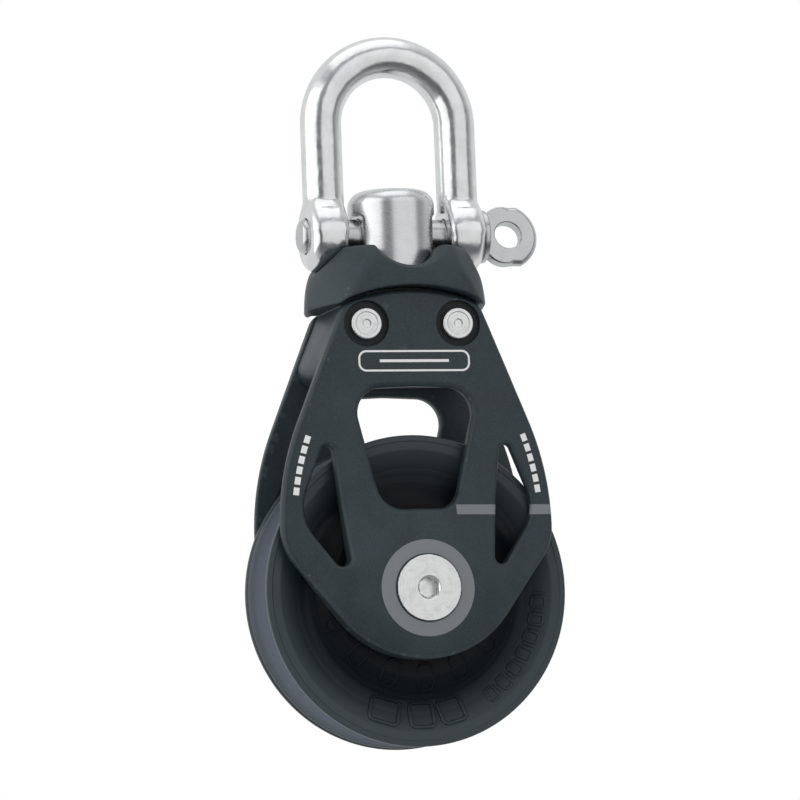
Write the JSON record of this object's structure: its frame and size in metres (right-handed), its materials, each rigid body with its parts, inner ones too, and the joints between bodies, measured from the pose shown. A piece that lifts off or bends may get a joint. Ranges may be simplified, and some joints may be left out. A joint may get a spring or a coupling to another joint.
{
  "type": "single sheave block",
  "caption": "Single swivel block with forged cheeks, a plain-bearing sheave, a push-to-lock post and a D shackle, for running rigging on a boat.",
  "frame": {"origin": "middle of the sheave, on the axle's axis", "axes": "+Z from the axle to the shackle, +Y through the rear cheek along the axle, +X to the side that the shackle pin's eye is on"},
  "size_m": [0.045, 0.0242, 0.1042],
  "materials": {
    "polished_steel": "polished stainless steel",
    "pin_steel": "tumbled stainless steel",
    "satin_steel": "turned satin stainless steel",
    "fastener_steel": "bright stainless steel",
    "race_steel": "ground stainless steel",
    "cheek_alloy": "matt dark grey anodised, forged",
    "head_alloy": "matt dark grey anodised",
    "sheave_acetal": "black moulded, semi-matt",
    "composite_bearing": "filled composite, matt",
    "acetal_white": "white acetal",
    "seal_rubber": "black nitrile"
  },
  "bodies": {
    "shackle": {"shackle_bow": "polished_steel"},
    "pin": {"shackle_pin": "pin_steel"},
    "post": {"swivel_post": "satin_steel", "post_nut": "satin_steel", "post_washer": "race_steel"},
    "block": {"head_piece": "head_alloy", "post_bushing": "acetal_white", "post_o_ring": "seal_rubber", "head_rivets": "fastener_steel", "rivet_sleeves": "satin_steel", "front_cheek": "cheek_alloy", "rear_cheek": "cheek_alloy", "axle_tube": "race_steel", "front_axle_screw": "fastener_steel", "rear_axle_screw": "fastener_steel", "front_thrust_race": "race_steel", "rear_thrust_race": "race_steel"},
    "front_ball_ring": {"front_ball_cage": "composite_bearing", "front_balls": "acetal_white"},
    "rear_ball_ring": {"rear_ball_cage": "composite_bearing", "rear_balls": "acetal_white"},
    "sheave": {"sheave": "sheave_acetal", "sleeve_bushing": "composite_bearing"}
  },
  "joints": [
    {"name": "pin_draw", "type": "slide", "parent": "shackle", "child": "pin", "axis": [1, 0, 0], "range_m": [0, 0.028]},
    {"name": "shackle_swing", "type": "hinge", "parent": "shackle", "child": "post", "pos_m": [0, 0, 0.0522], "axis": [1, 0, 0], "range_deg": [-70, 70]},
    {"name": "post_draw", "type": "slide", "parent": "post", "child": "block", "axis": [0, 0, -1], "range_m": [0, 0.0032]},
    {"name": "sheave_spin", "type": "hinge", "parent": "block", "child": "sheave", "pos_m": [0, 0, 0], "axis": [0, 1, 0], "continuous": true},
    {"name": "front_balls_spin", "type": "hinge", "parent": "block", "child": "front_ball_ring", "pos_m": [0, 0, 0], "axis": [0, 1, 0], "continuous": true},
    {"name": "rear_balls_spin", "type": "hinge", "parent": "block", "child": "rear_ball_ring", "pos_m": [0, 0, 0], "axis": [0, 1, 0], "continuous": true}
  ],
  "couplings": [
    {"joint": "front_balls_spin", "follows": "sheave_spin", "ratio": 0.5},
    {"joint": "rear_balls_spin", "follows": "sheave_spin", "ratio": 0.5}
  ]
}
